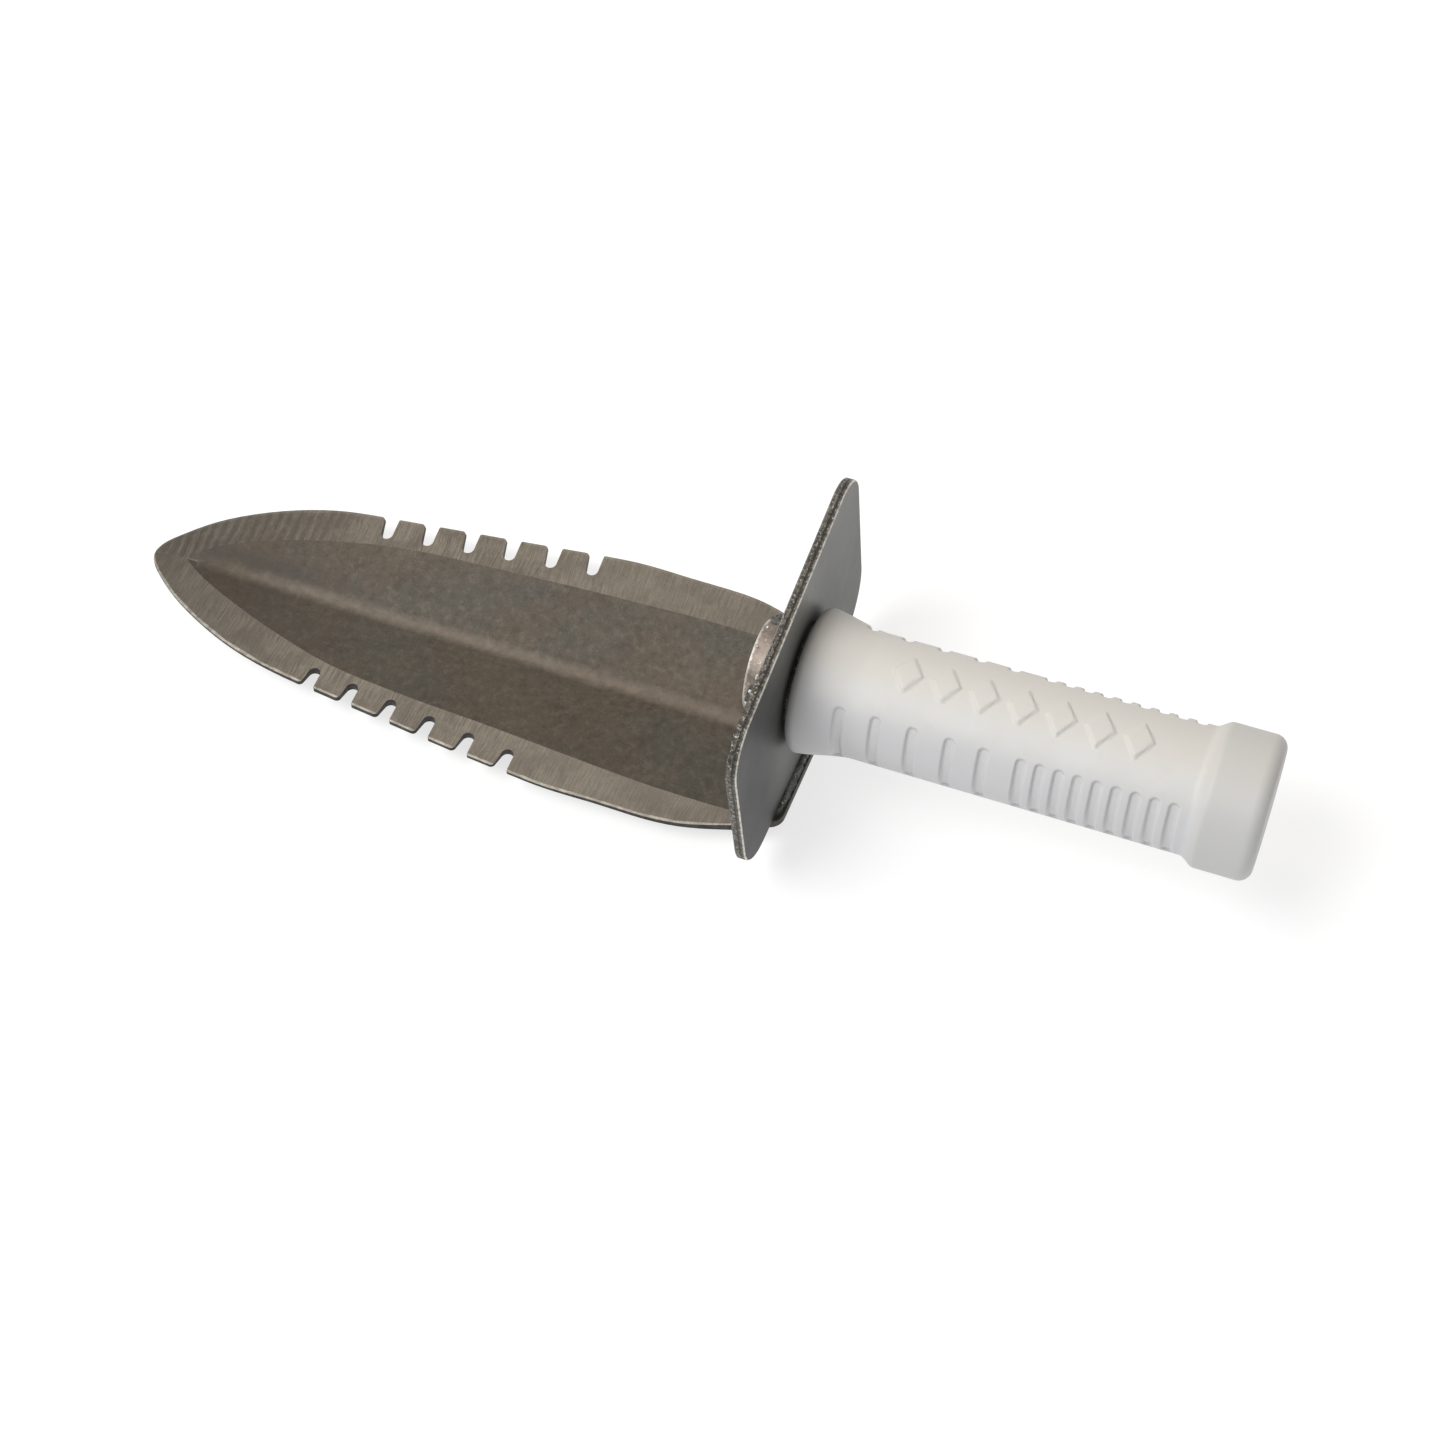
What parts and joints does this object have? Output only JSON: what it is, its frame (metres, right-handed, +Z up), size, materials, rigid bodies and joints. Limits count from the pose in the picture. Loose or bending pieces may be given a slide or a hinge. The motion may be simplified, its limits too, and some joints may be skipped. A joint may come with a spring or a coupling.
{
  "type": "hand digging trowel",
  "caption": "Hand digging trowel: pointed V-trough steel blade with notched ground edges, upright cross guard, steel tube handle and ribbed rubber grip.",
  "frame": {"origin": "middle of the footprint, level with the lowest point of the blade", "axes": "+X along the tool from the blade's tip to the grip's end, +Z up out of the trough of the blade"},
  "size_m": [0.3305, 0.0946, 0.0746],
  "materials": {
    "blade_steel": "dull oxidised mill surface with ground rims",
    "guard_steel": "dark satin plate with sheared edges",
    "tube_steel": "satin",
    "grip_rubber": "matt off-white",
    "weld_metal": "rough rippled bead"
  },
  "bodies": {
    "root": {"blade": "blade_steel", "guard": "guard_steel", "handle_tube": "tube_steel", "grip": "grip_rubber", "weld_tube_front": "weld_metal", "weld_tube_rear": "weld_metal", "weld_blade_front": "weld_metal", "weld_blade_rear": "weld_metal"}
  },
  "joints": []
}
